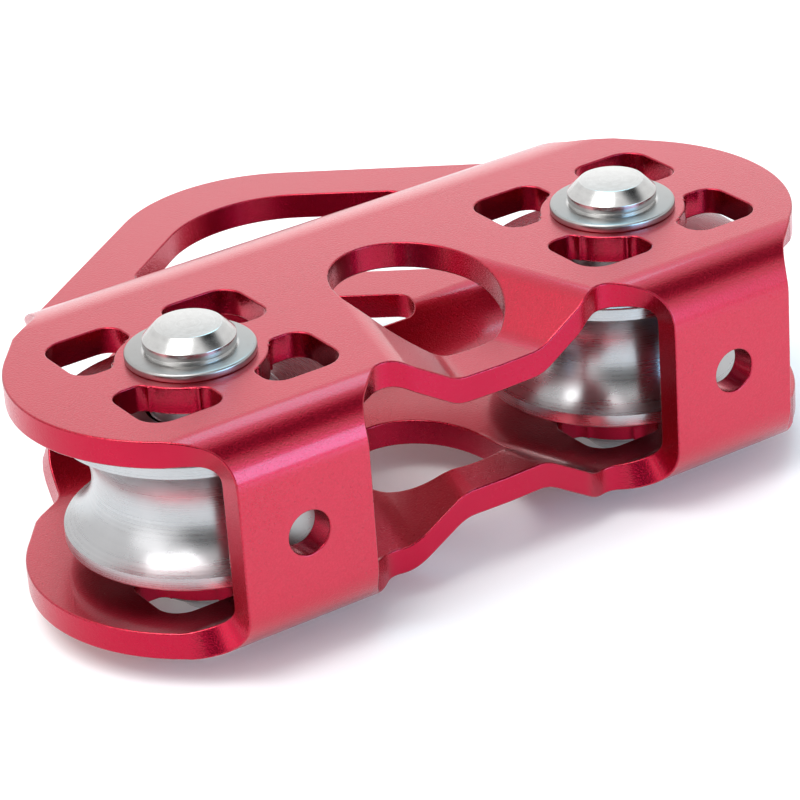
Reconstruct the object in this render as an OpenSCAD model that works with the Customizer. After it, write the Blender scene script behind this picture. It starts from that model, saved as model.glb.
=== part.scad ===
// Tandem rope pulley: two grooved sheaves side by side in one folded plate.
// The origin is midway between the two axles, in the plane of the rope grooves.
// X runs along the rope, +Y towards the carabiner eye, and Z along the axles.

/* [Plate] */
// Distance between the two axles
axle_span = 79; // [76:1:90]
// Outside distance across the two cheeks
frame_h = 36; // [35:0.5:40]
// Thickness of the folded plate
plate_t = 4.4; // [3.8:0.1:4.6]
// Radius of the plate's round nose about each axle
nose_r = 28.4; // [27.5:0.1:30]
// Distance from the axle line to the outer face of the front straps
strap_y = 30.1; // [29.5:0.1:32]
// Width of each front strap
strap_w = 22.7; // [20:0.1:24]
// Outer radius of the bends between the cheeks and the straps
bend_r = 8.3; // [6:0.1:9]
// Radius of the round hole in each strap
strap_hole_r = 3.5; // [2.5:0.1:4.5]

/* [Carabiner loops] */
// How far the loops and the front bridges are pressed in from the cheeks
joggle = 6.2; // [5.5:0.1:6.5]
// Distance from the axle line to where the rear ramp starts
ramp_y = 27.2; // [26:0.1:28]
// Distance from the axle line to the far end of the loops
loop_y = 67.1; // [66:0.1:69]
// Radius of the loops' outer round end
loop_end_r = 26; // [24:0.5:28]
// Distance from the axle line to the far end of the eye
eye_y = 56; // [54:0.1:57]

/* [Openings in the cheeks] */
// Half width of the egg-shaped middle hole
hole_half_w = 11.8; // [9:0.1:12]
// Half length of the middle hole
hole_half_l = 15.4; // [12:0.1:15.5]
// Distance from an axle to the outer legs of its windows
window_leg = 17.1; // [15:0.1:17.5]
// Radius of the windows' inner arc about the axle
window_arc_r = 11.6; // [11:0.1:12]

/* [Sheaves] */
// Outer radius of the sheave's flanges
sheave_r = 21.8; // [21:0.1:22]
// Radius at the bottom of the rope groove
groove_bottom_r = 16.8; // [16:0.1:18]
// Width of a sheave
sheave_w = 20.8; // [20.2:0.1:21.4]
// Height of the flat rim on each flange
rim_h = 2.1; // [1.5:0.1:2.6]

/* [Axles] */
// Radius of the axle
axle_r = 5; // [4.9:0.1:5]
// Radius of the axle's heads
head_r = 7.1; // [6.5:0.1:8]
// Height of the head's straight side
head_side_h = 1.8; // [1:0.1:2.5]
// Height of the head's sloping edge
head_slope_h = 1.9; // [1:0.1:2]
// Outer radius of the washer under each head
washer_r = 10; // [9:0.1:10.5]
// Thickness of the washer under each head
washer_t = 1.3; // [1:0.1:1.6]

/* [Ball bearings] */
// Outer radius of a bearing
bearing_r = 13; // [12.8:0.1:13]
// Width of a bearing
bearing_w = 8; // [7.8:0.1:8]
// Radius of the circle that the balls run on
ball_pitch_r = 9; // [8.9:0.05:9.1]
// Radius of a ball
ball_r = 2.3; // [2.1:0.05:2.35]
// Number of balls in a bearing
ball_count = 7; // [5:1:8]

/* [Hidden] */

$fn = 96;
// A cut runs past both faces of what it cuts by this much
cut = 1;
// Clearance between pieces that are fitted on one another
fit = 0.02;
// Clearance between the balls and everything that they run on or in
ball_gap = 0.1;

axle_x = axle_span / 2;
half_h = frame_h / 2;
cheek_inner = half_h - plate_t;
low_z = half_h - joggle;
bend_inner_r = bend_r - plate_t;
bend_y = strap_y - bend_r;
bend_z = half_h - bend_r;
strap_in = axle_x - strap_w / 2;
strap_out = axle_x + strap_w / 2;

// The rear ramp: two bends with this slope between them
ramp_angle = 45;
ramp_rad = 6;
ramp_inner_rad = ramp_rad - plate_t;
ramp_line = (joggle - (ramp_rad + ramp_inner_rad) * (1 - cos(ramp_angle))) / sin(ramp_angle);
ramp_len = (ramp_rad + ramp_inner_rad) * sin(ramp_angle) + ramp_line * cos(ramp_angle);
loop_start = ramp_y + ramp_len;

// The loop: a round end, and straight limbs that slope back to the noses
limb_angle = 36.8;
limb_meet_x = loop_end_r * sin(limb_angle)
    + (loop_y - loop_end_r * (1 - cos(limb_angle)) - loop_start) / tan(limb_angle);
flank_c = [38.9, 0.9];
flank_r = 28.75;
flank_x = flank_c[0] + sqrt(flank_r * flank_r - (ramp_y - flank_c[1]) * (ramp_y - flank_c[1]));

// The eye: its near edge is straight, and its limbs slope a little more than the loop's
eye_near = loop_start + 0.5;
eye_angle = 38.66;
eye_end_r = 20.8;
eye_corner_r = 3.2;
eye_corner_x = 22.4;

// The front bridge: the middle of each cheek is pressed in between two ramps
bridge_y = 24.2;
bridge_low_x = 7.4;
bridge_high_x = 18;
bridge_turn = atan(0.27);
bridge_run = (bridge_high_x - bridge_low_x) * cos(bridge_turn);
bridge_angle = atan(joggle / bridge_run);
notch_y = bend_y;

// Windows: corner radii, and the web that is left along each axis
window_web = 3.85;
window_big_r = 3;
window_outer_r = 4;
window_small_r = 1.6;

shoulder_r = bearing_r - 2;
shoulder_half = 1.6;
race_face = shoulder_half + bearing_w;
race_mid = shoulder_half + bearing_w / 2;
inner_race_r = 7.2;
outer_race_r = 10.8;
spacer_r = 7;
sleeve_r = 6.6;
shield_t = 0.4;
shield_in = inner_race_r + 0.5;
shield_out = outer_race_r + 0.6;
cage_half = 2.8;
cage_t = 1.2;
axle_flat_r = head_r - head_slope_h;
head_z = half_h + washer_t;

// Points along an arc about c, from angle a0 to a1 in n steps
function arc(c, r, a0, a1, n) =
    [for (i = [0:n]) c + r * [cos(a0 + (a1 - a0) * i / n), sin(a0 + (a1 - a0) * i / n)]];
function reversed(p) = [for (i = [len(p) - 1:-1:0]) p[i]];
function mirrored(p) = [for (i = [len(p) - 1:-1:0]) [-p[i][0], p[i][1]]];

// Draws a right half outline together with its mirror image
module both_halves(half) {
    polygon(concat(half, mirrored(half)));
}

// The middle hole: an ellipse behind its centre and a fuller curve in front
module middle_hole_outline() {
    centre_y = -0.8;
    steps = 10;
    function full(v, power) = pow(1 - pow(v, power), 1 / power);
    both_halves([for (i = [-steps:steps])
        let (v = sin(i * 90 / steps))
        [hole_half_w * full(abs(v), v < 0 ? 2.5 : 2), centre_y + hole_half_l * v]]);
}

// One lightening window, in the quarter where x and y are positive
module window_outline() {
    near = window_arc_r * cos(27.5) + window_small_r + 0.35;
    start = window_web + window_small_r;
    polygon(concat(
        arc([near, start], window_small_r, 180, 270, 3),
        arc([window_leg - window_big_r, window_web + window_big_r], window_big_r, 270, 360, 4),
        arc([window_leg - window_outer_r, window_leg - window_outer_r], window_outer_r, 0, 90, 5),
        arc([window_web + window_big_r, window_leg - window_big_r], window_big_r, 90, 180, 4),
        arc([start, near], window_small_r, 180, 270, 3),
        arc([0, 0], window_arc_r, 62.5, 27.5, 4)));
}

module four_windows() {
    for (sx = [0, 1], sy = [0, 1])
        mirror([sx, 0])
            mirror([0, sy])
                window_outline();
}

// The part of the plan that the front bridge takes up, out to x at its front edge
module bridge_wedge(x) {
    back = 6;
    side = x - (bridge_y + back) * tan(bridge_turn);
    both_halves([[x, -bridge_y], [side, back]]);
}

// The flat of a cheek: two noses and what joins them, with its hole and windows
module cheek_flat() {
    translate([0, 0, cheek_inner])
        linear_extrude(plate_t)
            difference() {
                union() {
                    for (s = [-1, 1])
                        intersection() {
                            translate([s * axle_x, 0])
                                circle(r = nose_r);
                            translate([s * axle_x, ramp_y - (ramp_y + bend_y) / 2])
                                square([axle_span, ramp_y + bend_y], center = true);
                        }
                    both_halves(concat([[axle_x, -bend_y]],
                        arc(flank_c, flank_r, 50, acos((flank_x - flank_c[0]) / flank_r), 4)));
                }
                bridge_wedge(bridge_high_x);
                middle_hole_outline();
                for (s = [-1, 1])
                    translate([s * axle_x, 0]) {
                        four_windows();
                        circle(r = axle_r + fit);
                    }
            }
}

// The rear ramp between the flat of a cheek and its loop
module rear_ramp() {
    intersection() {
        rotate([90, 0, 90])
            linear_extrude(2 * (flank_x + cut), center = true)
                polygon(concat(
                    arc([ramp_y, half_h - ramp_rad], ramp_rad, 90, 90 - ramp_angle, 4),
                    arc([loop_start, low_z + ramp_inner_rad], ramp_inner_rad, 270 - ramp_angle, 270, 3),
                    arc([loop_start, low_z + ramp_inner_rad], ramp_rad, 270, 270 - ramp_angle, 4),
                    arc([ramp_y, half_h - ramp_rad], ramp_inner_rad, 90 - ramp_angle, 90, 3)));
        linear_extrude(frame_h)
            both_halves([[flank_x, ramp_y], [limb_meet_x, loop_start]]);
    }
}

// The loop that the carabiner goes through
module loop() {
    corner = [eye_corner_x, eye_near + eye_corner_r];
    end = [0, loop_y - loop_end_r];
    eye_end = [0, eye_y - eye_end_r];
    translate([0, 0, low_z - plate_t])
        linear_extrude(plate_t)
            difference() {
                both_halves(concat([[limb_meet_x, loop_start]],
                    arc(end, loop_end_r, 90 - limb_angle, 90, 8)));
                both_halves(concat(arc(corner, eye_corner_r, -90, 90 - eye_angle, 6),
                    arc(eye_end, eye_end_r, 90 - eye_angle, 90, 8)));
            }
}

// The middle of the front edge, pressed in between two ramps
module bridge() {
    side = 60;
    lap = 0.6;
    run_in = 1.5;
    high_front_x = bridge_high_x - (bridge_y - notch_y) * tan(bridge_turn);
    back = (bridge_y + 6) * tan(bridge_turn);
    translate([0, 0, low_z - plate_t])
        linear_extrude(plate_t)
            difference() {
                bridge_wedge(bridge_low_x + lap);
                middle_hole_outline();
            }
    for (s = [0, 1])
        mirror([s, 0, 0])
            intersection() {
                translate([bridge_low_x, -bridge_y, low_z])
                    rotate([0, 0, bridge_turn])
                        rotate([0, -bridge_angle, 0])
                            translate([-side / 2, -side / 2, -plate_t])
                                cube([side, side, plate_t]);
                translate([0, 0, low_z - plate_t])
                    linear_extrude(frame_h)
                        difference() {
                            polygon([[bridge_low_x - run_in, -bridge_y], [high_front_x, -notch_y],
                                [bridge_high_x - back, 6], [bridge_low_x - run_in - back, 6]]);
                            middle_hole_outline();
                        }
            }
}

// The right strap's bend: a quarter of a tube along X, wider where it meets the cheek
module strap_bend() {
    widen = 4;
    intersection() {
        translate([axle_x, -bend_y, bend_z])
            rotate([0, 90, 0])
                difference() {
                    cylinder(h = nose_r * 2, r = bend_r, center = true);
                    cylinder(h = nose_r * 3, r = bend_inner_r, center = true);
                }
        translate([0, -bend_y - bend_r, bend_z])
            cube([axle_span, bend_r, bend_r]);
        linear_extrude(frame_h)
            polygon([[strap_in - widen, -bend_y], [strap_in, -bend_y - bend_inner_r],
                [strap_in, -strap_y], [strap_out, -strap_y],
                [strap_out, -bend_y - bend_inner_r], [strap_out + widen, -bend_y]]);
    }
}

// The right strap between its two bends, with its hole
module strap() {
    difference() {
        translate([strap_in, -strap_y, -bend_z])
            cube([strap_w, plate_t, 2 * bend_z]);
        translate([axle_x, -strap_y + plate_t + cut, 0])
            rotate([90, 0, 0])
                cylinder(h = plate_t + 2 * cut, r = strap_hole_r);
    }
}

module side_plate() {
    color([0.80, 0.16, 0.24])
        union() {
            for (level = [0, 1])
                mirror([0, 0, level]) {
                    cheek_flat();
                    rear_ramp();
                    loop();
                    bridge();
                }
            for (side = [0, 1])
                mirror([side, 0, 0]) {
                    strap();
                    strap_bend();
                    mirror([0, 0, 1])
                        strap_bend();
                }
        }
}

// Half of the sheave's section on one side of its axis, turned about the axle
module sheave() {
    half_w = sheave_w / 2;
    groove_half = half_w - rim_h;
    depth = sheave_r - groove_bottom_r;
    groove_rad = (depth * depth + groove_half * groove_half) / (2 * depth);
    sweep = asin(groove_half / groove_rad);
    edge = 0.4;
    color([0.78, 0.79, 0.80])
        rotate_extrude()
            polygon(concat(
                [[bearing_r + fit, -half_w], [sheave_r - edge, -half_w], [sheave_r, -half_w + edge]],
                reversed(arc([groove_bottom_r + groove_rad, 0], groove_rad, 180 - sweep, 180 + sweep, 20)),
                [[sheave_r, half_w - edge], [sheave_r - edge, half_w], [bearing_r + fit, half_w],
                [bearing_r + fit, shoulder_half], [shoulder_r, shoulder_half],
                [shoulder_r, -shoulder_half], [bearing_r + fit, -shoulder_half]]));
}

module axle() {
    color([0.72, 0.72, 0.74])
        union() {
            cylinder(h = 2 * head_z + 0.2, r = axle_r, center = true);
            for (s = [0, 1])
                mirror([0, 0, s])
                    translate([0, 0, head_z])
                        rotate_extrude()
                            polygon([[0, 0], [head_r, 0], [head_r, head_side_h],
                                [axle_flat_r, head_side_h + head_slope_h], [0, head_side_h + head_slope_h]]);
        }
}

// A flat ring about the axle from height z upwards
module ring(r_in, r_out, h, z) {
    translate([0, 0, z])
        rotate_extrude()
            translate([r_in, 0])
                square([r_out - r_in, h]);
}

module washer() {
    color([0.70, 0.70, 0.72])
        ring(axle_r + fit, washer_r, washer_t, half_h);
}

module spacer() {
    color([0.66, 0.67, 0.69])
        ring(axle_r + fit, spacer_r, cheek_inner - race_face, race_face);
}

module sleeve() {
    color([0.66, 0.67, 0.69])
        ring(axle_r + fit, sleeve_r, 2 * shoulder_half, -shoulder_half);
}

// The groove that the balls run in, cut out of both races
module ball_track() {
    translate([0, 0, race_mid])
        rotate_extrude()
            translate([ball_pitch_r, 0])
                circle(r = ball_r + ball_gap, $fn = 48);
}

module outer_race() {
    color([0.60, 0.61, 0.63])
        difference() {
            ring(outer_race_r, bearing_r, bearing_w, shoulder_half);
            ball_track();
            for (z = [shoulder_half - cut, race_face - shield_t])
                ring(outer_race_r - cut, shield_out, shield_t + cut, z);
        }
}

module inner_race() {
    color([0.60, 0.61, 0.63])
        difference() {
            ring(axle_r + fit, inner_race_r, bearing_w, shoulder_half);
            ball_track();
        }
}

module balls() {
    color([0.80, 0.81, 0.83])
        for (i = [0:ball_count - 1])
            rotate([0, 0, i * 360 / ball_count])
                translate([ball_pitch_r, 0, race_mid])
                    sphere(r = ball_r, $fn = 48);
}

module cage() {
    color([0.74, 0.62, 0.36])
        difference() {
            ring(ball_pitch_r - cage_t / 2, ball_pitch_r + cage_t / 2, 2 * cage_half, race_mid - cage_half);
            for (i = [0:ball_count - 1])
                rotate([0, 0, i * 360 / ball_count])
                    translate([ball_pitch_r, 0, race_mid])
                        rotate([0, 90, 0])
                            cylinder(h = 2 * cage_t, r = ball_r + ball_gap, center = true);
        }
}

module shields() {
    color([0.52, 0.53, 0.55])
        for (z = [shoulder_half, race_face - shield_t])
            ring(shield_in, shield_out - fit, shield_t, z);
}

// Places a piece on the left or right axle, and above or below the middle
module at(side, level) {
    translate([side * axle_x, 0, 0])
        mirror([0, 0, level < 0 ? 1 : 0])
            children();
}

side_plate();
at(-1, 1) sheave();  // sheave_left
at(1, 1) sheave();  // sheave_right
at(-1, 1) axle();  // axle_left
at(1, 1) axle();  // axle_right
at(-1, 1) washer();  // washer_left_upper
at(-1, -1) washer();  // washer_left_lower
at(1, 1) washer();  // washer_right_upper
at(1, -1) washer();  // washer_right_lower
at(-1, 1) spacer();  // spacer_left_upper
at(-1, -1) spacer();  // spacer_left_lower
at(1, 1) spacer();  // spacer_right_upper
at(1, -1) spacer();  // spacer_right_lower
at(-1, 1) sleeve();  // sleeve_left
at(1, 1) sleeve();  // sleeve_right
at(-1, 1) outer_race();  // outer_race_left_upper
at(-1, -1) outer_race();  // outer_race_left_lower
at(1, 1) outer_race();  // outer_race_right_upper
at(1, -1) outer_race();  // outer_race_right_lower
at(-1, 1) inner_race();  // inner_race_left_upper
at(-1, -1) inner_race();  // inner_race_left_lower
at(1, 1) inner_race();  // inner_race_right_upper
at(1, -1) inner_race();  // inner_race_right_lower
at(-1, 1) balls();  // balls_left_upper
at(-1, -1) balls();  // balls_left_lower
at(1, 1) balls();  // balls_right_upper
at(1, -1) balls();  // balls_right_lower
at(-1, 1) cage();  // cage_left_upper
at(-1, -1) cage();  // cage_left_lower
at(1, 1) cage();  // cage_right_upper
at(1, -1) cage();  // cage_right_lower
at(-1, 1) shields();  // shields_left_upper
at(-1, -1) shields();  // shields_left_lower
at(1, 1) shields();  // shields_right_upper
at(1, -1) shields();  // shields_right_lower
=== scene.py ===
# %% [markdown]
# # A tandem rope pulley
#
# Two grooved sheaves run side by side in one plate that is cut flat, punched and folded. This lesson
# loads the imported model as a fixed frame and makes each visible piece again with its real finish.
# All sizes are in millimetres until a mesh is finished, and MM turns them into metres.

# %% Load the frame
from math import atan2, ceil, cos, degrees, pi, radians, sin, tan

import bpy
from mathutils import Matrix, Vector


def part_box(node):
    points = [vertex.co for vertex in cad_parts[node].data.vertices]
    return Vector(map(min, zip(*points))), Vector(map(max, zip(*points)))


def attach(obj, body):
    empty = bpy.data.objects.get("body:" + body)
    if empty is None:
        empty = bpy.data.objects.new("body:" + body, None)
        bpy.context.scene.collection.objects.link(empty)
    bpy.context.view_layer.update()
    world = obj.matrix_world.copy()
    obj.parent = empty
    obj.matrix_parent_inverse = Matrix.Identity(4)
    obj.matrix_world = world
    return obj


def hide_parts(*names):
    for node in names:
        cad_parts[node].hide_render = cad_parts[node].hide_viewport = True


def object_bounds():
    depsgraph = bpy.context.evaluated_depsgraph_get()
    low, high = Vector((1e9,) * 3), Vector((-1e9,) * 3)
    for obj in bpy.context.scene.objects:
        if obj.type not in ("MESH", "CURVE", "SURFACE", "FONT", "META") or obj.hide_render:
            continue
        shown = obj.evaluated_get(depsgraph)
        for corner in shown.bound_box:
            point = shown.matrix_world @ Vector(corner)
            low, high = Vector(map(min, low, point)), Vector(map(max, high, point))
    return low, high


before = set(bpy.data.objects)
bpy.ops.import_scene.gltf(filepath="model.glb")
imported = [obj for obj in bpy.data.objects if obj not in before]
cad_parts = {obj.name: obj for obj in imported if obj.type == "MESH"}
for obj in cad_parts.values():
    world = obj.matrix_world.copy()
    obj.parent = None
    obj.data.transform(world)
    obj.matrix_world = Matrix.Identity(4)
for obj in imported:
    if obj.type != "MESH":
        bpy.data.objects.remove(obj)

MM = 0.001
cad_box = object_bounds()
print("CAD box in mm:", [[round(v / MM, 1) for v in corner] for corner in cad_box])

# %% [markdown]
# ## The camera
#
# A long lens, half a metre away, looks down on the pulley from the front left. The camera is also
# rolled a little, so that the pulley lies across the square frame from corner to corner.

# %% Camera
camera_azimuth = -32.5
camera_elevation = 26.6
camera_roll = -4.18
camera_distance = 547.2
camera_lens = 157.15
aim = Vector((-2.97, 0.49, -2.34))


def from_angles(azimuth, elevation):
    """Direction towards a compass angle and a height; azimuth 0 is straight in front."""
    a = radians(azimuth)
    e = radians(elevation)
    return Vector((sin(a) * cos(e), -cos(a) * cos(e), sin(e)))


back = from_angles(camera_azimuth, camera_elevation)
right = Vector((0, 0, 1)).cross(back).normalized()
upright = Matrix((right, back.cross(right), back)).transposed()
turn = upright @ Matrix.Rotation(radians(camera_roll), 3, "Z")
camera = bpy.data.objects.new("camera", bpy.data.cameras.new("camera"))
camera.matrix_world = Matrix.Translation((aim + back * camera_distance) * MM) @ turn.to_4x4()
camera.data.lens = camera_lens
camera.data.clip_start = 0.02
bpy.context.collection.objects.link(camera)
bpy.context.scene.camera = camera
print("camera at", [round(v / MM) for v in camera.matrix_world.translation], "mm")

# %% [markdown]
# ## Outlines with rounded corners
#
# Every piece here starts from an outline: the plate from its flat blank, and the turned pieces from
# half a section. An outline is a list of corners, each with the radius that rounds it, so that a
# drawing of a few corners is enough. Long arcs are worked out by a formula. Two rounded corners need
# room for both their curves, or the outline crosses itself and its faces turn inside out.

# %% Outline helpers


def arc(cx, cy, radius, start, end, step=4.0):
    """Corners without rounding along an arc, from angle start to end."""
    n = max(2, ceil(abs(end - start) / step))
    angles = [radians(start + (end - start) * i / n) for i in range(n + 1)]
    return [(cx + radius * cos(a), cy + radius * sin(a), 0) for a in angles]


def rounded(corners, step=7.5, closed=True):
    """Points of an outline whose corners (x, y, radius) are rounded."""
    points = []
    count = len(corners)
    for i, (x, y, radius) in enumerate(corners):
        here = Vector((x, y))
        ends = not closed and i in (0, count - 1)
        if radius <= 0 or ends:
            points.append((x, y))
            continue
        before = (Vector(corners[i - 1][:2]) - here).normalized()
        after = (Vector(corners[(i + 1) % count][:2]) - here).normalized()
        half = before.angle(after) / 2
        reach = radius / tan(half)
        centre = here + (before + after).normalized() * radius / sin(half)
        a0 = here + before * reach - centre
        a1 = here + after * reach - centre
        swing = a0.angle_signed(a1)
        n = max(2, ceil(abs(degrees(swing)) / step))
        start = atan2(a0.y, a0.x)
        for k in range(n + 1):
            angle = start - swing * k / n
            points.append((centre.x + radius * cos(angle), centre.y + radius * sin(angle)))
    return points


def both_sides(half):
    """A closed outline from its right half, which starts and ends on the centre line."""
    return half + [(-x, y) for x, y in reversed(half) if x > 1e-6]


def moved(points, dx=0.0, dy=0.0):
    return [(x + dx, y + dy) for x, y in points]


def flipped(points, fx=1, fy=1):
    return [(x * fx, y * fy) for x, y in points]


print("a rounded square has", len(rounded([(0, 0, 1), (4, 0, 1), (4, 4, 1), (0, 4, 1)])), "points")

# %% [markdown]
# ## The plate's path
#
# The real plate is one flat blank, pressed into shape: the straps bend up into the cheeks, and each
# cheek steps down into its loop. Seen from the side, the middle of the plate follows one path, and
# every point of the blank lies at some length along it. The path is a list of straight and bent
# stretches, so the fold is exact and the thickness stays the same all the way round.

# %% Path of the plate, seen from the side
low, high = (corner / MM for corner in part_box("side_plate"))
plate_t = 4.4
bend_r = 8.3
half_h = 18.0
strap_y = -low.y
loop_y = high.y
joggle = 6.2
ramp_y = 24.2
crest_rad = 20.0
ramp_angle = 40.0

bend_mid = bend_r - plate_t / 2
crest_mid = crest_rad - plate_t / 2
foot_mid = 3.8
both_mid = crest_mid + foot_mid
ramp_drop = joggle - both_mid * (1 - cos(radians(ramp_angle)))
ramp_line = ramp_drop / sin(radians(ramp_angle))
bend_y = strap_y - bend_r
strap_half = half_h - bend_r
stretches = [
    (strap_half, 0.0),
    (bend_mid * pi / 2, -90.0),
    (bend_y + ramp_y, 0.0),
    (crest_mid * radians(ramp_angle), -ramp_angle),
    (ramp_line, 0.0),
    (foot_mid * radians(ramp_angle), ramp_angle),
    (60.0, 0.0),
]
cheek_start = stretches[0][0] + stretches[1][0]
cheek_shift = cheek_start + bend_y
ramp_start = cheek_start + stretches[2][0]
loop_start = ramp_start + sum(length for length, bend in stretches[3:6])
loop_start_y = ramp_y + both_mid * sin(radians(ramp_angle)) + ramp_line * cos(radians(ramp_angle))
loop_shift = loop_start - loop_start_y


def along(s):
    """Place (y, z) and heading of the plate's middle at length s from the middle of a strap."""
    y, z, heading = -strap_y + plate_t / 2, 0.0, pi / 2
    for length, bend in stretches:
        step = min(s, length)
        if bend == 0:
            y += step * cos(heading)
            z += step * sin(heading)
        else:
            curve = radians(bend) / length
            turned = heading + curve * step
            y += (sin(turned) - sin(heading)) / curve
            z -= (cos(turned) - cos(heading)) / curve
            heading = turned
        s -= step
        if s <= 0:
            break
    return y, z, heading


print("blank is", round(2 * (loop_y + loop_shift), 1), "mm long; a loop's face is at z",
      round(along(loop_start + 5)[1] + plate_t / 2, 2))

# %% [markdown]
# ## The edge of the flat blank
#
# The blank is drawn flat: x runs along the rope, and y is the length along the path. It is the same
# on both sides of the centre line, and the lower cheek is the upper one mirrored. From a strap the
# edge sweeps round the nose of the cheek, turns in where the cheek steps down, and follows a straight
# limb to the round end of the loop.

# %% Edge of the blank
axle_x = 39.5
strap_out = 50.85
strap_corner = (14.25, 6.2)  # where the nose leaves the strap, and the radius there
nose_r = 28.4
nose_y = cheek_shift - 0.3
nose_low = 52  # the nose runs from here
nose_high = 40  # to here, in degrees
shoulder_centre = (axle_x - 0.6, cheek_shift + 0.9)
shoulder_rad = nose_r + 0.35
crest_corner = (50.6, cheek_shift + 27.6, 4)
limb_corner = (47.6, loop_shift + 38.0, 14)
end_r = 26.0
end_y = loop_y - end_r + loop_shift
limb_angle = 36.8

half_outline = [(strap_out, 0, 0), (strap_out, *strap_corner)]
half_outline += arc(axle_x, nose_y, nose_r, -nose_low, nose_high, 3)
half_outline += arc(*shoulder_centre, shoulder_rad, 50, 58, 3)
half_outline += [crest_corner, limb_corner]
half_outline += arc(0, end_y, end_r, 90 - limb_angle, 90, 3)
upper_right = rounded(half_outline, closed=False)
upper = upper_right + [(-x, y) for x, y in reversed(upper_right[:-1])]
outer_outline = upper + [(x, -y) for x, y in reversed(upper[1:-1])]
print("the edge has", len(outer_outline), "points")

# %% [markdown]
# ## The large holes
#
# Three shapes are cut out of the middle. The front opening parts the two straps, the egg-shaped
# middle hole lightens the cheek, and the eye takes the carabiner. The egg is an ellipse behind its
# centre and a fuller curve in front. The eye's far end is round, its limbs slope a little more than
# the loop's, and its near edge is straight.

# %% Front opening, middle hole and eye
strap_in = 28.15
opening_corners = [
    (strap_in, 0, 0), (strap_in, 14.1, 6), (20.7, 19.65, 3.6), (15.5, 17.75, 6), (0, 17.3, 0),
]
opening_right = rounded(opening_corners, closed=False)
opening_top = opening_right + [(-x, y) for x, y in reversed(opening_right[:-1])]
front_opening = opening_top + [(x, -y) for x, y in reversed(opening_top[1:-1])]

hole_half_w = 11.8
hole_half_l = 15.4
hole_y = -0.8


def fuller(v, power):
    """Half width of a round shape of size 1 at height v; a power above 2 makes it fuller."""
    return (1 - v ** power) ** (1 / power)


hole_half = []
for i in range(-24, 25):
    v = sin(i * pi / 48)
    hole_half.append((hole_half_w * fuller(abs(v), 2.5 if v < 0 else 2.0), hole_y + hole_half_l * v))
middle_hole = both_sides(hole_half)

eye_angle = 38.66
eye_end_r = 20.8
eye_y = 56.0
eye_corner = (22.4, 40.25)
eye_corner_r = 3.2
eye_half = [(0, eye_corner[1] - eye_corner_r, 0)]
eye_half += arc(*eye_corner, eye_corner_r, -90, 90 - eye_angle, 8)
eye_half += arc(0, eye_y - eye_end_r, eye_end_r, 90 - eye_angle, 90, 3)
eye = both_sides([(x, y) for x, y, radius in eye_half])
print("the middle hole has", len(middle_hole), "points and the eye has", len(eye))

# %% [markdown]
# ## Windows and round holes
#
# Four windows stand round each axle, with a cross of webs between them. One is drawn, in the quarter
# where x and y are positive: its inner side is an arc round the washer, and its other corners are
# rounded. It is then flipped and moved for the rest. The round holes take the axles and, in the
# straps, a cord.

# %% Windows and round holes
leg = 17.0  # far sides of a window
web = 3.85  # near sides, which leave a web of twice this
inner_r = 11.6
inner_angle = 27.5
small_r, side_r, far_r = 1.6, 3, 4
near = inner_r * cos(radians(inner_angle)) + 1.95
window_arc = arc(0, 0, inner_r, 90 - inner_angle, inner_angle, 5)
window_half = arc(near, web + small_r, small_r, 180, 270, 15)
window_half += arc(leg - side_r, web + side_r, side_r, 270, 360, 10)
window_half += arc(leg - far_r, leg - far_r, far_r, 0, 90, 10)
window_half += arc(web + side_r, leg - side_r, side_r, 90, 180, 10)
window_half += arc(web + small_r, near, small_r, 180, 270, 15)
window = [(x, y) for x, y, radius in window_half + window_arc]

axle_hole = [(x, y) for x, y, radius in arc(0, 0, 5.1, 0, 360, 6)[:-1]]
strap_hole = [(x, y) for x, y, radius in arc(0, 0, 3.5, 0, 360, 7.5)[:-1]]
holes = [front_opening]
for sx in (-1, 1):
    holes.append(moved(strap_hole, sx * axle_x))
for level in (-1, 1):
    holes.append(flipped(moved(middle_hole, 0, cheek_shift), 1, level))
    holes.append(flipped(moved(eye, 0, loop_shift), 1, level))
    for sx in (-1, 1):
        holes.append(flipped(moved(axle_hole, axle_x, cheek_shift), sx, level))
        for wx in (-1, 1):
            for wy in (-1, 1):
                one = moved(flipped(window, wx, wy), axle_x, cheek_shift)
                holes.append(flipped(one, sx, level))
print("the blank has", len(holes), "holes and", len(outer_outline), "points round its edge")

# %% [markdown]
# ## Cutting the blank
#
# A flat curve with its holes fills itself, and its own extrusion and bevel give the thickness and
# the broken edges of the real blank, so that the rim is even all the way round. It then becomes a
# mesh, because only a mesh can be folded.

# %% Cut the blank
edge_break = 0.3


def active(piece):
    """Selects one piece and nothing else."""
    bpy.ops.object.select_all(action="DESELECT")
    piece.select_set(True)
    bpy.context.view_layer.objects.active = piece
    return piece


def cut_blank(name, outlines):
    """A slab with rounded rims, from flat outlines in mm."""
    curve = bpy.data.curves.new(name, "CURVE")
    curve.dimensions = "2D"
    curve.fill_mode = "BOTH"
    for points in outlines:
        spline = curve.splines.new("POLY")
        spline.points.add(len(points) - 1)
        spline.use_cyclic_u = True
        for point, (x, y) in zip(spline.points, points):
            point.co = (x, y, 0, 1)
    curve.extrude = plate_t / 2 - edge_break
    curve.bevel_depth = edge_break
    curve.bevel_resolution = 2
    curve.offset = -edge_break
    piece = bpy.data.objects.new(name, curve)
    bpy.context.collection.objects.link(piece)
    active(piece)
    bpy.ops.object.convert(target="MESH")
    piece = bpy.context.object
    bpy.ops.object.mode_set(mode="EDIT")
    bpy.ops.mesh.select_all(action="SELECT")
    bpy.ops.mesh.remove_doubles(threshold=0.0005)
    bpy.ops.mesh.normals_make_consistent(inside=False)
    bpy.ops.object.mode_set(mode="OBJECT")
    return piece


plate = cut_blank("folded_side_plate", [outer_outline] + holes)
print("blank:", len(plate.data.vertices), "vertices,", [round(v, 2) for v in plate.dimensions], "mm")

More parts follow.
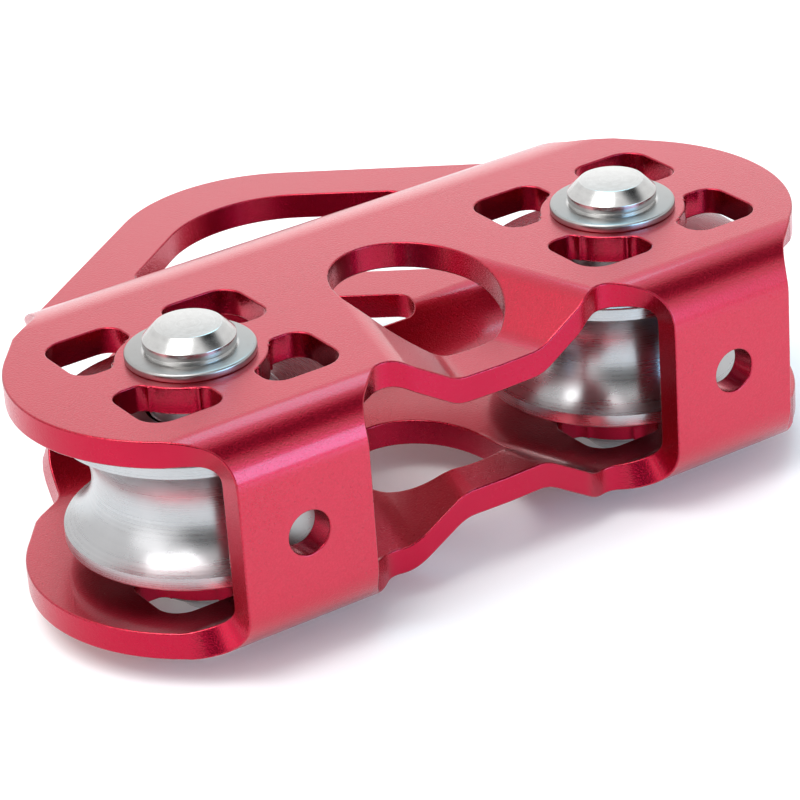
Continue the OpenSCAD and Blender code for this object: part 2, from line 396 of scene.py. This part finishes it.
# %% [markdown]
# ## Lines for the folds
#
# A face can only bend where it has edges. Before folding, the blank is bisected by many parallel
# lines across each bend. The front bridges are pressed in between slanting lines, so those are cut
# on the slant, and only in the middle of the blank.

# %% Cut the fold lines
press_y = -24.2  # front edge of a bridge
press_low = 8.0  # half its width at the bottom, at that edge
press_run = 10.3  # width of each slope
press_slant = 0.305  # how much it narrows towards the back, per mm
press_round = 0.17  # share of a slope that is rounded at its ends
press_depth = joggle
press_end = 6.0
middle_x = 19.9
cuts_per_bend = 13


def faces_inside(test):
    """Selects the faces of the plate whose centre passes the test."""
    bpy.ops.object.mode_set(mode="OBJECT")
    for face in plate.data.polygons:
        face.select = bool(test(face.center))
    bpy.ops.object.mode_set(mode="EDIT")


def cut_line(point, normal):
    bpy.ops.mesh.bisect(plane_co=(point[0], point[1], 0), plane_no=(normal[0], normal[1], 0))


active(plate)
bpy.ops.object.mode_set(mode="EDIT")
bpy.ops.mesh.select_mode(type="FACE")
levels = []
position = 0.0
for length, bend in stretches[:-1]:
    if bend:
        levels += [position + length * k / cuts_per_bend for k in range(cuts_per_bend + 1)]
    position += length
for level in levels:
    for side in (-1, 1):
        bpy.ops.mesh.select_all(action="SELECT")
        cut_line((0, side * level), (0, 1))
for x in (-middle_x, middle_x):
    bpy.ops.mesh.select_all(action="SELECT")
    cut_line((x, 0), (1, 0))
for side in (-1, 1):
    bpy.ops.mesh.select_all(action="SELECT")
    cut_line((0, side * (cheek_shift + press_end)), (0, 1))
slant_count = 9
for sx in (-1, 1):
    for level in (-1, 1):
        for fold in (0, 1):
            for k in range(slant_count):
                t = fold + press_round * (2 * k / (slant_count - 1) - 1)
                reach = cheek_shift + press_end
                faces_inside(lambda c: abs(c.x) < middle_x and 0 < c.y * level < reach)
                cut_line((sx * (press_low + press_run * t), level * (press_y + cheek_shift)),
                         (1, sx * level * press_slant))
bpy.ops.mesh.select_all(action="SELECT")
bpy.ops.mesh.remove_doubles(threshold=0.0005)
bpy.ops.object.mode_set(mode="OBJECT")
print("ready to fold:", len(plate.data.vertices), "vertices and", len(plate.data.polygons), "faces")

# %% [markdown]
# ## The pressed bridges
#
# Between the straps each cheek dips towards the rope, which stiffens the plate. The dip is a flat
# bottom between two slopes, and the corners of the slopes are rounded by short parabolas. The
# function gives the slopes too, because the normals need them.

# %% Pressed bridges


def pressed(x, y):
    """Depth and slopes of the pressed-in bridge at a place on a cheek."""
    if abs(x) > middle_x or y > press_end:
        return 0.0, 0.0, 0.0
    start = press_low - press_slant * (y - press_y)
    t = (start + press_run - abs(x)) / press_run
    depth, slope = 0.0, 0.0
    for sign, u in ((1, t), (-1, t - 1)):
        if u > press_round:
            depth += sign * u
            slope += sign
        elif u > -press_round:
            depth += sign * (u + press_round) ** 2 / (4 * press_round)
            slope += sign * (u + press_round) / (2 * press_round)
    side = 1 if x > 0 else -1
    per_mm = press_depth * slope / press_run
    return -press_depth * depth, side * per_mm, per_mm * press_slant


print("a bridge is", round(-pressed(0, press_y)[0], 2), "mm deep at its front edge")

# %% [markdown]
# ## Exact normals
#
# A folded blank has long thin triangles, which shade unevenly when Blender averages their normals.
# So each vertex gets its own: flat faces keep one exact normal, a cut wall keeps its own, and the
# broken edge shades softly from one to the other. The share says how far a vertex is down the cut
# edge, for the finish.

# %% Normals of the flat blank


def flat_normals(mesh):
    """Exact normals in the flat: cut walls, broken edges and faces."""
    normals = []
    shares = []
    wall = plate_t / 2 - edge_break
    for vertex in mesh.vertices:
        height = abs(vertex.co.z)
        normal = vertex.normal.copy()
        share = min(1.0, max(0.0, (plate_t / 2 - height) / edge_break))
        if height < wall + 0.001:
            normal.z = 0
        elif height > plate_t / 2 - 0.001:
            normal = Vector((0, 0, 1 if vertex.co.z > 0 else -1))
        normals.append(normal.normalized())
        shares.append(share)
    return normals, shares


normals, shares = flat_normals(plate.data)
print(sum(share == 1 for share in shares), "of", len(shares), "vertices stand in a cut wall")

# %% [markdown]
# ## Folding
#
# Each vertex of the flat blank is sent to its place on the path, and its normal is turned with it.
# The bridges are pressed in the same step. The lower half of the blank is the upper half with its
# height reversed.

# %% Fold the blank


def folded(point, normal):
    """Where a point of the flat blank goes, and its normal there."""
    x, v, w = point
    level = 1 if v >= 0 else -1
    s = abs(v)
    if abs(x) < middle_x and s < cheek_shift + press_end:
        y = s - cheek_shift
        depth, slope_x, slope_y = pressed(x, y)
        place = Vector((x, y, half_h - plate_t / 2 + depth + w))
        lean = level * normal.y - slope_y * normal.z
        bent = Vector((normal.x - slope_x * normal.z, lean, normal.z))
    else:
        y, z, heading = along(s)
        ahead = Vector((0, cos(heading), sin(heading)))
        outward = Vector((0, -sin(heading), cos(heading)))
        place = Vector((x, y, z)) + outward * w
        bent = Vector((normal.x, 0, 0)) + ahead * (level * normal.y) + outward * normal.z
    place.z *= level
    bent.z *= level
    return place * MM, bent.normalized()


new_places = []
new_normals = []
for vertex, normal in zip(plate.data.vertices, normals):
    place, bent = folded(vertex.co, normal)
    new_places.append(place)
    new_normals.append(bent)
for vertex, place in zip(plate.data.vertices, new_places):
    vertex.co = place
plate.data.polygons.foreach_set("use_smooth", [True] * len(plate.data.polygons))
plate.data.update()
plate.data.normals_split_custom_set_from_vertices(new_normals)
cut_edge = plate.data.attributes.new("cut_edge", "FLOAT", "POINT")
cut_edge.data.foreach_set("value", shares)
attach(plate, "frame")
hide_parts("side_plate")
print("folded plate:", [round(v / MM, 1) for v in plate.dimensions], "mm")

# %% [markdown]
# ## Turned pieces
#
# Sheaves, axles and washers come off a lathe. Each is half a section, spun round its axle with the
# spin operator. The section's own rounded corners give the broken edges that catch the light.

# %% Spin a section


def spin_section(name, section, x, steps=144):
    """Turns half a section, a list of (r, z) in mm, about the axle at x."""
    mesh = bpy.data.meshes.new(name)
    starts_on_axis = section[0][0] == 0
    count = len(section)
    edges = [(i, i + 1) for i in range(count - 1)]
    if not starts_on_axis:
        edges.append((count - 1, 0))
    mesh.from_pydata([((x + r) * MM, 0, z * MM) for r, z in section], edges, [])
    piece = bpy.data.objects.new(name, mesh)
    bpy.context.collection.objects.link(piece)
    active(piece)
    bpy.ops.object.mode_set(mode="EDIT")
    bpy.ops.mesh.select_all(action="SELECT")
    bpy.ops.mesh.spin(steps=steps, angle=2 * pi, center=(x * MM, 0, 0), axis=(0, 0, 1))
    bpy.ops.mesh.select_all(action="SELECT")
    bpy.ops.mesh.remove_doubles(threshold=1e-6)
    bpy.ops.mesh.normals_make_consistent(inside=False)
    bpy.ops.object.mode_set(mode="OBJECT")
    bpy.ops.object.shade_smooth_by_angle(angle=radians(24))
    return piece


sides = {"left": -axle_x, "right": axle_x}
print("the axles stand at x", sides)

# %% [markdown]
# ## The sheaves
#
# A sheave has a round groove for the rope between two flanges. Its rims are left flat and bright,
# with edges just broken, and its bore holds two bearings against a shoulder.

# %% Sheaves
sheave_r = 21.8
groove_r = 16.8
sheave_half = 10.4
rim_h = 2.1
groove_half = sheave_half - rim_h
groove_depth = sheave_r - groove_r
groove_rad = (groove_depth ** 2 + groove_half ** 2) / (2 * groove_depth)
sweep = degrees(atan2(groove_half, groove_rad - groove_depth))
bearing_r = 13.02
shoulder_r = 11.0
shoulder_half = 1.6
groove = arc(groove_r + groove_rad, 0, groove_rad, 180 - sweep, 180 + sweep, 3)
corners = [(bearing_r, sheave_half, 0.4), (sheave_r, sheave_half, 0.35)]
corners += [(sheave_r, groove_half + 0.25, 0), *groove, (sheave_r, -groove_half - 0.25, 0)]
corners += [(sheave_r, -sheave_half, 0.35), (bearing_r, -sheave_half, 0.4)]
corners += [(bearing_r, -shoulder_half, 0), (shoulder_r, -shoulder_half, 0)]
corners += [(shoulder_r, shoulder_half, 0), (bearing_r, shoulder_half, 0)]
sheave_section = rounded(corners, step=20)
sheaves = []
for side, x in sides.items():
    sheave = spin_section(f"grooved_sheave_{side}", sheave_section, x)
    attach(sheave, f"sheave_{side}")
    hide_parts(f"sheave_{side}")
    sheaves.append(sheave)
print("a sheave has", len(sheaves[0].data.vertices), "vertices")

# %% [markdown]
# ## Axles and washers
#
# An axle is a plain steel pin with a head at each end. A head stands on a washer: a short straight
# side with a slight neck at its foot, a cone, and a flat top.

# %% Axles and washers
axle_r = 5.0
head_r = 7.1
washer_t = 1.3
washer_r = 10.0
head_foot = half_h + washer_t
head_top = -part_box("axle_left")[0].z / MM
cone_top_r = 5.2
cone_foot = head_foot + 1.8
head = [(axle_r, head_foot, 0), (head_r - 0.45, head_foot, 0), (head_r - 0.45, head_foot + 0.35, 0.1)]
head += [(head_r, head_foot + 0.6, 0.15), (head_r, cone_foot, 0.15), (cone_top_r, head_top, 0.3)]
head_line = rounded([(axle_r, 0, 0)] + head + [(0, head_top, 0)], step=20, closed=False)
axle_section = [(r, z) for r, z in reversed(head_line)] + [(r, -z) for r, z in head_line[1:]]
washer_corners = [(axle_r + 0.02, half_h, 0), (washer_r, half_h, 0.25)]
washer_corners += [(washer_r, head_foot, 0.4), (axle_r + 0.02, head_foot, 0)]
washer_section = rounded(washer_corners, step=20)
axles = []
washers = []
for side, x in sides.items():
    axle = spin_section(f"axle_with_heads_{side}", axle_section, x)
    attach(axle, "frame")
    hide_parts(f"axle_{side}")
    axles.append(axle)
    for level, sign in (("upper", 1), ("lower", -1)):
        section = [(r, sign * z) for r, z in washer_section]
        washer = spin_section(f"head_washer_{side}_{level}", section, x)
        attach(washer, "frame")
        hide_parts(f"washer_{side}_{level}")
        washers.append(washer)
print("made", len(axles), "axles and", len(washers), "washers")

# %% [markdown]
# ## Writing shader maths
#
# A Wire holds one output socket. Adding or multiplying wires adds the Math nodes, so a pattern reads
# like a sum.

# %% Wires


class Wire:
    """One output socket, which can be used in sums."""

    def __init__(self, finish, socket):
        self.finish = finish
        self.socket = socket

    def _math(self, operation, first, second=0.0):
        return self.finish.node("ShaderNodeMath", {"operation": operation}, {0: first, 1: second})

    def __add__(self, other):
        return self._math("ADD", self, other)

    __radd__ = __add__

    def __sub__(self, other):
        return self._math("SUBTRACT", self, other)

    def __rsub__(self, other):
        return self._math("SUBTRACT", other, self)

    def __mul__(self, other):
        return self._math("MULTIPLY", self, other)

    __rmul__ = __mul__

    def __pow__(self, power):
        return self._math("POWER", self, power)

    def __abs__(self):
        return self._math("ABSOLUTE", self)


print("wires are ready")

# %% [markdown]
# ## A material under construction
#
# A Finish starts from Blender's standard shader. Every node except the sums comes from its node
# method, which sets the node up and then plugs in the values or wires of its sockets. The short
# methods below it are the few nodes that these metals need.

# %% Finishes


class Finish:
    """A material under construction."""

    def __init__(self, name):
        self.material = bpy.data.materials.new(name)
        self.material.use_nodes = True
        self.tree = self.material.node_tree
        self.shader = self.tree.nodes["Principled BSDF"]

    def plug(self, socket, value):
        if isinstance(value, Wire):
            self.tree.links.new(value.socket, socket)
        else:
            socket.default_value = value

    def node(self, kind, settings=None, inputs=None, output=0):
        """Adds a node, sets it up, plugs its sockets and gives back one of its outputs."""
        made = self.tree.nodes.new(kind)
        for key, value in (settings or {}).items():
            if key == "stops":
                ramp = made.color_ramp
                while len(ramp.elements) < len(value):
                    ramp.elements.new(0.5)
                for stop, (place, level) in zip(ramp.elements, value):
                    stop.position = place
                    stop.color = (level, level, level, 1)
            else:
                setattr(made, key, value)
        for key, value in (inputs or {}).items():
            self.plug(made.inputs[key], value)
        return Wire(self, made.outputs[output])

    def place(self):
        return self.node("ShaderNodeTexCoord", output="Object")

    def noise(self, scale, detail=2.0, roughness=0.5):
        inputs = {"Scale": scale, "Detail": detail, "Roughness": roughness, "Vector": self.place()}
        return self.node("ShaderNodeTexNoise", None, inputs)

    def ramp(self, value, *stops):
        return self.node("ShaderNodeValToRGB", {"stops": stops}, {0: value})

    def mix(self, share, first, second):
        """Colour between two colours."""
        colours = {0: share, 6: first, 7: second}
        return self.node("ShaderNodeMix", {"data_type": "RGBA"}, colours, output=2)

    def bump(self, height, strength, distance, below=None):
        inputs = {"Height": height, "Strength": strength, "Distance": distance}
        if below:
            inputs["Normal"] = below
        return self.node("ShaderNodeBump", None, inputs)

    def look(self, **sockets):
        """Sets the shader's sockets: Base_Color=... stands for Base Color."""
        for key, value in sockets.items():
            self.plug(self.shader.inputs[key.replace("_", " ")], value)
        return self.material


def colour(red, green, blue):
    return (red, green, blue, 1)


print("finishes can be made")

# %% [markdown]
# ## Red anodised, bead-blasted plate
#
# The blank is blasted with fine beads, dyed red and sealed. Up close it is a fine grain that glitters
# where the light changes quickly. The sealed layer on top is clear and gives the pale sheen, so it
# is a coat over a red metal. Cut walls are smoother than the blasted faces and have less coat. Their
# broken edges get a painted shade, a dark grainy line that stands in for the dark room they reflect,
# and they are pale where they have worn.

# %% Red anodised plate
red = Finish("red_anodised_plate")
edge = red.node("ShaderNodeAttribute", {"attribute_name": "cut_edge"}, output="Fac")
rim_line = 1 - abs(edge * 2 - 1)
grain = red.noise(3400, 2.0, 0.6)
fine_grain = red.noise(9000, 1.0, 0.5)
cloud = red.noise(60, 3.0, 0.55)
mottle = red.ramp(grain, (0.32, 0.0), (0.7, 1.0))
deep_red = colour(0.42, 0.005, 0.026)
bright_red = colour(0.55, 0.012, 0.042)
face_red = red.mix(mottle * 0.6 + cloud * 0.4, deep_red, bright_red)
wall_red = red.mix(cloud, colour(0.38, 0.004, 0.028), colour(0.48, 0.006, 0.038))
plate_red = red.mix(edge, face_red, wall_red)
# Painted shade: a dark grainy line along the broken edges stands in for the dark room reflected
# there; it also thins the coat below.
painted_rim_shade = rim_line * red.ramp(red.noise(1500, 3.0, 0.7), (0.36, 0.0), (0.60, 1.0))
plate_red = red.mix(painted_rim_shade * 0.5, plate_red, colour(0.12, 0.002, 0.008))
worn = rim_line * red.ramp(red.noise(420, 4.0, 0.7), (0.60, 0.0), (0.74, 1.0))
plate_red = red.mix(worn * 0.5, plate_red, colour(0.66, 0.12, 0.16))
plate_rough = 0.23 + grain * 0.08 + cloud * 0.04 - edge * 0.03
plate_bump = red.bump(grain, 0.8, 0.00008)
plate_bump = red.bump(fine_grain, 0.4, 0.00002, plate_bump)
red.look(
    Base_Color=plate_red, Metallic=1.0, Roughness=plate_rough, Normal=plate_bump,
    Coat_Weight=0.62 - edge * 0.42 - painted_rim_shade * 0.12, Coat_Roughness=0.15, Coat_IOR=1.6,
)
print("red finish has", len(red.tree.nodes), "nodes")

# %% [markdown]
# ## Turned aluminium and polished steel
#
# The lathe leaves very fine rings round the axle. Both sheaves share one finish, because the
# distance from the nearer axle is worked out from the size of x. The rings follow height and radius
# together, so that they run round the groove and round the flat sides alike. The steel of the axle
# heads is brighter and smoother, and its washers, which are further from the axle, are duller.

# %% Turned aluminium and polished steel


def rings(finish, pitch, detail=3.0):
    """Fine rings round the nearer axle."""
    place = finish.place()
    x, y, z = [finish.node("ShaderNodeSeparateXYZ", None, {0: place}, output=k) for k in range(3)]
    dx = abs(x) - axle_x * MM
    radius = (dx * dx + y * y) ** 0.5
    run = (z + radius * 1.3) * (1 / (pitch * MM))
    inputs = {"W": run, "Scale": 1.0, "Detail": detail, "Roughness": 0.6}
    return finish.node("ShaderNodeTexNoise", {"noise_dimensions": "1D"}, inputs), radius


alu = Finish("turned_aluminium")
alu_rings, from_axle = rings(alu, 0.28)
smear = alu.noise(160, 3.0, 0.55)
dark_alu = colour(0.34, 0.34, 0.35)
pale_alu = colour(0.58, 0.58, 0.59)
alu_tone = alu.mix(alu_rings * 0.5 + smear * 0.5, dark_alu, pale_alu)
alu_bump = alu.bump(alu_rings, 0.30, 0.00002)
alu_bump = alu.bump(alu.noise(5200, 2.0), 0.10, 0.00001, alu_bump)
alu.look(
    Base_Color=alu_tone, Metallic=1.0, Roughness=0.20 + alu_rings * 0.08 + smear * 0.08,
    Normal=alu_bump, Anisotropic=0.7, Anisotropic_Rotation=0.25,
)

steel = Finish("polished_steel")
steel_rings, from_axle = rings(steel, 0.35)
steel_wear = steel.noise(900, 4.0, 0.6)
dark_steel = colour(0.46, 0.455, 0.45)
pale_steel = colour(0.70, 0.695, 0.685)
steel_tone = steel.mix(steel_rings * 0.4 + steel_wear * 0.6, dark_steel, pale_steel)
on_washer = steel.ramp(from_axle * 100, (0.72, 0.0), (0.74, 1.0))
steel_tone = steel.mix(on_washer * 0.65, steel_tone, colour(0.26, 0.25, 0.245))
steel_bump = steel.bump(steel_rings, 0.16, 0.00002)
steel_bump = steel.bump(steel.noise(3000, 2.0), 0.06, 0.00001, steel_bump)
steel_rough = 0.14 + steel_rings * 0.06 + steel_wear * 0.10 + on_washer * 0.08
steel.look(Base_Color=steel_tone, Metallic=1.0, Roughness=steel_rough, Normal=steel_bump)
print("turned and polished finishes made")

# %% [markdown]
# ## Finishes of the inner pieces
#
# Bearings, spacers and sleeves keep their CAD shape. They show only through the gaps, but each gets
# a finish of its own: ground races, bright balls, brass cages, dull shields and zinc spacers.

# %% Inner finishes


def plain_metal(name, dark, light, rough, scale):
    """A metal with cloudy tone, uneven gloss and a fine ring pattern."""
    metal = Finish(name)
    lines, from_axle = rings(metal, 0.4)
    cloudy = metal.noise(scale, 3.0, 0.6)
    tone = metal.mix(lines * 0.4 + cloudy * 0.6, dark, light)
    relief = metal.bump(lines, 0.15, 0.00002)
    return metal.look(
        Base_Color=tone, Metallic=1.0, Roughness=rough + cloudy * 0.12, Normal=relief,
    )


zinc = plain_metal("zinc_steel", colour(0.48, 0.49, 0.50), colour(0.66, 0.67, 0.69), 0.32, 500)
race = plain_metal("bearing_steel", colour(0.50, 0.50, 0.51), colour(0.70, 0.70, 0.71), 0.14, 700)
brass = plain_metal("brass_cage", colour(0.56, 0.36, 0.12), colour(0.74, 0.50, 0.20), 0.26, 600)
shield = plain_metal("shield_steel", colour(0.36, 0.36, 0.37), colour(0.52, 0.52, 0.53), 0.30, 400)


def dress(piece, material):
    piece.data.materials.clear()
    piece.data.materials.append(material)


dress(plate, red.material)
for piece in sheaves:
    dress(piece, alu.material)
for piece in axles + washers:
    dress(piece, steel.material)
inner = {"spacer": zinc, "sleeve": zinc, "outer_race": race, "inner_race": race,
         "balls": race, "cage": brass, "shields": shield}
for name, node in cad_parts.items():
    for start, material in inner.items():
        if name.startswith(start):
            for slot in node.material_slots:
                slot.material = material
            if not node.material_slots:
                dress(node, material)
print("every piece has its finish")

# %% [markdown]
# ## The table
#
# The pulley lies on a plain white table, on the heads of its axles. The table glows a little, so that
# its shadows stay pale. It belongs to the stage and not to the object.

# %% Table
floor_z = cad_box[0].z
bpy.ops.object.select_all(action="DESELECT")
bpy.ops.mesh.primitive_plane_add(size=6, location=(0, 0, floor_z))
floor = bpy.context.object
floor.name = "table"
white = Finish("white_table")
speck = white.noise(40, 3.0, 0.5)
white.look(
    Base_Color=white.mix(speck, colour(0.93, 0.93, 0.93), colour(0.96, 0.96, 0.96)), Roughness=0.7,
    Emission_Color=colour(1, 1, 1), Emission_Strength=0.08,
)
dress(floor, white.material)
print("table at z", round(floor_z / MM, 1), "mm")

# %% [markdown]
# ## The room
#
# The room is a white tent, bright all round. A polished red metal shows what it reflects, so the
# tent holds soft round patches. A dark flag over the front right draws the dark, grainy band along
# the bends, and a dark patch behind the camera keeps the straps deep red. Glows on the left and
# behind lift the cut walls, and two faint blue glows give the red bends their violet light.

# %% Room
room = bpy.data.worlds.new("white_tent")
bpy.context.scene.world = room
room.use_nodes = True


class Room(Finish):
    """The world's nodes, wired in the same way as a finish."""

    def __init__(self, world):
        self.tree = world.node_tree
        self.shader = self.tree.nodes["Background"]


tent = Room(room)
ray = tent.node("ShaderNodeTexCoord", output="Generated")


def spot(direction, radius, soft):
    """1 inside a round patch of the sky, 0 outside it; both sizes are in degrees."""
    facing = tent.node("ShaderNodeVectorMath", {"operation": "DOT_PRODUCT"},
                       {0: ray, 1: direction}, output="Value")
    inner, outer = cos(radians(max(0, radius - soft))), cos(radians(radius + soft))
    inputs = {"Value": facing, "From Min": outer, "From Max": inner}
    return tent.node("ShaderNodeMapRange", {"interpolation_type": "SMOOTHSTEP"}, inputs)


flag = spot(from_angles(57, 55), 17, 9)
camera_side = spot(from_angles(-28, 12), 26, 12)
behind = spot(from_angles(147, 2), 18, 12)
left_glow = spot(from_angles(-88, 22), 14, 10)
rear_glow = spot(from_angles(130, 50), 10, 9)
front_glow = spot(from_angles(30, 10), 16, 9)
level = 1.06 + behind * 0.6 + left_glow * 1.0 - flag * 1.06 - camera_side * 0.95
glow = front_glow * 0.5 + rear_glow * 0.5
tent.plug(tent.shader.inputs["Strength"], level + glow)
share = glow * ((level + glow) ** -1.0)
tent.plug(tent.shader.inputs["Color"], tent.mix(share, colour(1, 1, 1), colour(0.35, 0.75, 1.0)))
print("the room has", len(room.node_tree.nodes), "nodes")

# %% [markdown]
# ## The lamps
#
# A large softbox high on the left lights the upper cheek. Two small blue cards stand close to the
# pulley, like strips of coloured card in a studio: one lights the front bends, and one the back.

# %% Lamps


def softbox(name, azimuth, elevation, distance, size, power, tint=(1, 1, 1)):
    """A square lamp that faces the pulley."""
    lamp = bpy.data.objects.new(name, bpy.data.lights.new(name, "AREA"))
    lamp.data.shape = "RECTANGLE"
    lamp.data.size, lamp.data.size_y = size
    lamp.data.energy = power
    lamp.data.color = tint
    direction = from_angles(azimuth, elevation)
    lamp.location = direction * distance
    lamp.rotation_euler = (-direction).to_track_quat("-Z", "Y").to_euler()
    bpy.context.collection.objects.link(lamp)
    return lamp


softbox("left_softbox", -75, 62, 1.2, (0.7, 0.7), 8.0)
softbox("violet_card", 16.5, 11.5, 0.262, (0.15, 0.10), 0.26, (0.22, 0.62, 1.0))
softbox("rear_card", 134, 56, 0.386, (0.16, 0.14), 0.20, (0.22, 0.80, 1.0))
bpy.context.scene.view_settings.view_transform = "Standard"
